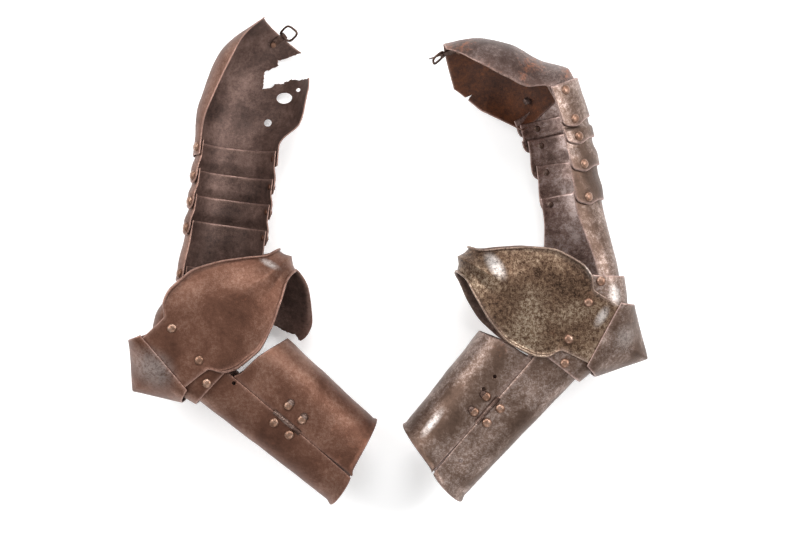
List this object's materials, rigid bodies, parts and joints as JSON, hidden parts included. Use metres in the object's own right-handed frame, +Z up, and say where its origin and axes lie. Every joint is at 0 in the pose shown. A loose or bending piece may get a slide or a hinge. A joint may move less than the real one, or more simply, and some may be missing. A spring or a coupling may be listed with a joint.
{
  "type": "plate arm harness",
  "caption": "Pair of jointed plate arm defences laid flat: shoulder plate, lames, upper cannon, winged elbow and hinged lower cannon on each arm.",
  "frame": {"origin": "under the middle of the pair, on the surface that it lies on", "axes": "+X from the left arm towards the right arm, +Y from the wrists towards the shoulders, +Z up"},
  "size_m": [0.5434, 0.5114, 0.1151],
  "materials": {
    "plate_brown": "old brown patina with rust, satin",
    "plate_grey": "pitted dark steel, glossy highlights",
    "rivet_brown": "worn domed heads",
    "rivet_grey": "worn domed heads",
    "fitting_dark": "dark pitted iron"
  },
  "bodies": {
    "left_couter": {"left_elbow_rivet_b": "rivet_brown", "left_elbow_rivet_c": "rivet_brown", "left_couter_wing": "plate_brown", "left_couter_point": "plate_brown"},
    "left_lower_cannon": {"left_lower_cannon_back": "plate_brown", "left_hinge_leaf_back": "fitting_dark", "left_hinge_pin": "rivet_brown"},
    "left_lower_cannon_front": {"left_lower_cannon_front": "plate_brown", "left_hinge_leaf_front": "fitting_dark"},
    "left_lower_elbow_lame": {"left_elbow_rivet_d": "rivet_brown", "left_lower_elbow_lame": "plate_brown"},
    "left_upper_cannon": {"left_elbow_rivet_a": "rivet_brown", "left_upper_cannon": "plate_brown"},
    "left_lame_3": {"left_arm_rivet_1": "rivet_brown", "left_lame_3": "plate_brown"},
    "left_lame_2": {"left_arm_rivet_2": "rivet_brown", "left_lame_2": "plate_brown"},
    "left_lame_1": {"left_arm_rivet_3": "rivet_brown", "left_lame_1": "plate_brown"},
    "left_spaulder": {"left_arm_rivet_4": "rivet_brown", "left_buckle_tab": "fitting_dark", "left_buckle_rivet": "rivet_brown", "left_spaulder": "plate_brown"},
    "left_buckle_loop": {"left_buckle_loop": "fitting_dark"},
    "left_upper_elbow_lame": {"left_upper_elbow_lame": "plate_brown"},
    "right_couter": {"right_elbow_rivet_b": "rivet_grey", "right_elbow_rivet_c": "rivet_grey", "right_couter_wing": "plate_grey", "right_couter_point": "plate_grey"},
    "right_lower_cannon": {"right_lower_cannon_back": "plate_grey", "right_hinge_leaf_back": "fitting_dark", "right_hinge_pin": "rivet_grey"},
    "right_lower_cannon_front": {"right_lower_cannon_front": "plate_grey", "right_hinge_leaf_front": "fitting_dark"},
    "right_lower_elbow_lame": {"right_elbow_rivet_d": "rivet_grey", "right_lower_elbow_lame": "plate_grey"},
    "right_upper_elbow_lame": {"right_elbow_rivet_a": "rivet_grey", "right_upper_elbow_lame": "plate_grey"},
    "right_lame_4": {"right_arm_rivet_1": "rivet_grey", "right_lame_4": "plate_grey"},
    "right_lame_3": {"right_arm_rivet_2": "rivet_grey", "right_lame_3": "plate_grey"},
    "right_lame_2": {"right_arm_rivet_3": "rivet_grey", "right_lame_2": "plate_grey"},
    "right_lame_1": {"right_arm_rivet_4": "rivet_grey", "right_arm_rivet_5": "rivet_grey", "right_lame_1": "plate_grey"},
    "right_spaulder": {"right_buckle_tab": "fitting_dark", "right_buckle_rivet": "rivet_grey", "right_spaulder": "plate_grey"},
    "right_buckle_loop": {"right_buckle_loop": "fitting_dark"},
    "right_buckle_tongue": {"right_buckle_tongue": "fitting_dark"},
    "right_upper_cannon": {"right_upper_cannon": "plate_grey"}
  },
  "joints": [
    {"name": "right_arm_place", "type": "slide", "parent": "left_couter", "child": "right_couter", "axis": [1, 0, 0], "range_m": [0, 0.12]},
    {"name": "left_lower_elbow_lame_turn", "type": "hinge", "parent": "left_couter", "child": "left_lower_elbow_lame", "pos_m": [-0.19462, -0.10268, 0.06023], "axis": [0, 0, 1], "range_deg": [-18, 2]},
    {"name": "left_lower_cannon_turn", "type": "hinge", "parent": "left_lower_elbow_lame", "child": "left_lower_cannon", "pos_m": [-0.187, -0.12655, 0.06023], "axis": [0, 0, 1], "range_deg": [-18, 2]},
    {"name": "left_lower_cannon_front_turn", "type": "hinge", "parent": "left_lower_cannon", "child": "left_lower_cannon_front", "pos_m": [-0.10464, -0.1671, 0.10395], "axis": [0.7613, -0.6479, -0.0265], "range_deg": [0, 60]},
    {"name": "left_upper_elbow_lame_turn", "type": "hinge", "parent": "left_couter", "child": "left_upper_elbow_lame", "pos_m": [-0.22243, -0.06988, 0.06023], "axis": [0, 0, 1], "range_deg": [0, 20]},
    {"name": "left_upper_cannon_turn", "type": "hinge", "parent": "left_upper_elbow_lame", "child": "left_upper_cannon", "pos_m": [-0.17744, -0.0194, 0.06023], "axis": [-0.8975, 0.1261, 0.4226], "range_deg": [-12, 0]},
    {"name": "left_lame_3_turn", "type": "hinge", "parent": "left_upper_cannon", "child": "left_lame_3", "pos_m": [-0.17069, 0.02863, 0.06023], "axis": [-0.8975, 0.1261, 0.4226], "range_deg": [-12, 1]},
    {"name": "left_lame_2_turn", "type": "hinge", "parent": "left_lame_3", "child": "left_lame_2", "pos_m": [-0.16703, 0.05588, 0.05989], "axis": [-0.8975, 0.1261, 0.4226], "range_deg": [-12, 1]},
    {"name": "left_lame_1_turn", "type": "hinge", "parent": "left_lame_2", "child": "left_lame_1", "pos_m": [-0.16362, 0.08266, 0.05912], "axis": [-0.8975, 0.1261, 0.4226], "range_deg": [-12, 1]},
    {"name": "left_spaulder_turn", "type": "hinge", "parent": "left_lame_1", "child": "left_spaulder", "pos_m": [-0.16018, 0.11242, 0.05755], "axis": [-0.8975, 0.1261, 0.4226], "range_deg": [-12, 1]},
    {"name": "left_buckle_loop_turn", "type": "hinge", "parent": "left_spaulder", "child": "left_buckle_loop", "pos_m": [-0.11264, 0.23993, 0.01007], "axis": [0.5556, -0.7226, -0.4114], "range_deg": [-60, 60]},
    {"name": "right_lower_elbow_lame_turn", "type": "hinge", "parent": "right_couter", "child": "right_lower_elbow_lame", "pos_m": [0.18488, -0.08121, 0.06023], "axis": [0, 0, -1], "range_deg": [-18, 0]},
    {"name": "right_lower_cannon_turn", "type": "hinge", "parent": "right_lower_elbow_lame", "child": "right_lower_cannon", "pos_m": [0.1811, -0.10598, 0.06023], "axis": [0, 0, -1], "range_deg": [-18, 0]},
    {"name": "right_lower_cannon_front_turn", "type": "hinge", "parent": "right_lower_cannon", "child": "right_lower_cannon_front", "pos_m": [0.10158, -0.15478, 0.10411], "axis": [0.6559, 0.7545, 0.0241], "range_deg": [0, 50]},
    {"name": "right_upper_elbow_lame_turn", "type": "hinge", "parent": "right_couter", "child": "right_upper_elbow_lame", "pos_m": [0.20527, -0.04335, 0.06023], "axis": [0, 0, -1], "range_deg": [-12, 15]},
    {"name": "right_upper_cannon_turn", "type": "hinge", "parent": "right_upper_elbow_lame", "child": "right_upper_cannon", "pos_m": [0.21814, -0.02185, 0.06023], "axis": [0, 0, -1], "range_deg": [-12, 15]},
    {"name": "right_lame_4_turn", "type": "hinge", "parent": "right_upper_cannon", "child": "right_lame_4", "pos_m": [0.18892, 0.06236, 0.05643], "axis": [-0.4006, -0.0706, -0.9135], "range_deg": [-1, 2]},
    {"name": "right_lame_3_turn", "type": "hinge", "parent": "right_lame_4", "child": "right_lame_3", "pos_m": [0.18457, 0.09657, 0.05569], "axis": [-0.4006, -0.0706, -0.9135], "range_deg": [-1, 2]},
    {"name": "right_lame_2_turn", "type": "hinge", "parent": "right_lame_3", "child": "right_lame_2", "pos_m": [0.17908, 0.12505, 0.0559], "axis": [-0.4006, -0.0706, -0.9135], "range_deg": [-1, 2]},
    {"name": "right_lame_1_turn", "type": "hinge", "parent": "right_lame_2", "child": "right_lame_1", "pos_m": [0.17497, 0.14319, 0.05629], "axis": [-0.4006, -0.0706, -0.9135], "range_deg": [-1, 2]},
    {"name": "right_spaulder_turn", "type": "hinge", "parent": "right_lame_1", "child": "right_spaulder", "pos_m": [0.16529, 0.17257, 0.05827], "axis": [-0.4006, -0.0706, -0.9135], "range_deg": [-1, 2]},
    {"name": "right_buckle_loop_turn", "type": "hinge", "parent": "right_spaulder", "child": "right_buckle_loop", "pos_m": [0.05646, 0.21698, 0.04669], "axis": [-0.0772, 0.498, 0.8638], "range_deg": [-4, 60]},
    {"name": "right_buckle_tongue_turn", "type": "hinge", "parent": "right_spaulder", "child": "right_buckle_tongue", "pos_m": [0.05646, 0.21698, 0.04669], "axis": [-0.0772, 0.498, 0.8638], "range_deg": [-45, 4]}
  ],
  "couplings": [
    {"joint": "left_lower_cannon_turn", "follows": "left_lower_elbow_lame_turn", "ratio": 1},
    {"joint": "left_lame_2_turn", "follows": "left_lame_3_turn", "ratio": 1},
    {"joint": "left_lame_1_turn", "follows": "left_lame_3_turn", "ratio": 1},
    {"joint": "left_spaulder_turn", "follows": "left_lame_3_turn", "ratio": 1},
    {"joint": "right_lower_cannon_turn", "follows": "right_lower_elbow_lame_turn", "ratio": 1},
    {"joint": "right_upper_cannon_turn", "follows": "right_upper_elbow_lame_turn", "ratio": 1},
    {"joint": "right_lame_3_turn", "follows": "right_lame_4_turn", "ratio": 1},
    {"joint": "right_lame_2_turn", "follows": "right_lame_4_turn", "ratio": 1},
    {"joint": "right_lame_1_turn", "follows": "right_lame_4_turn", "ratio": 1},
    {"joint": "right_spaulder_turn", "follows": "right_lame_4_turn", "ratio": 1}
  ]
}
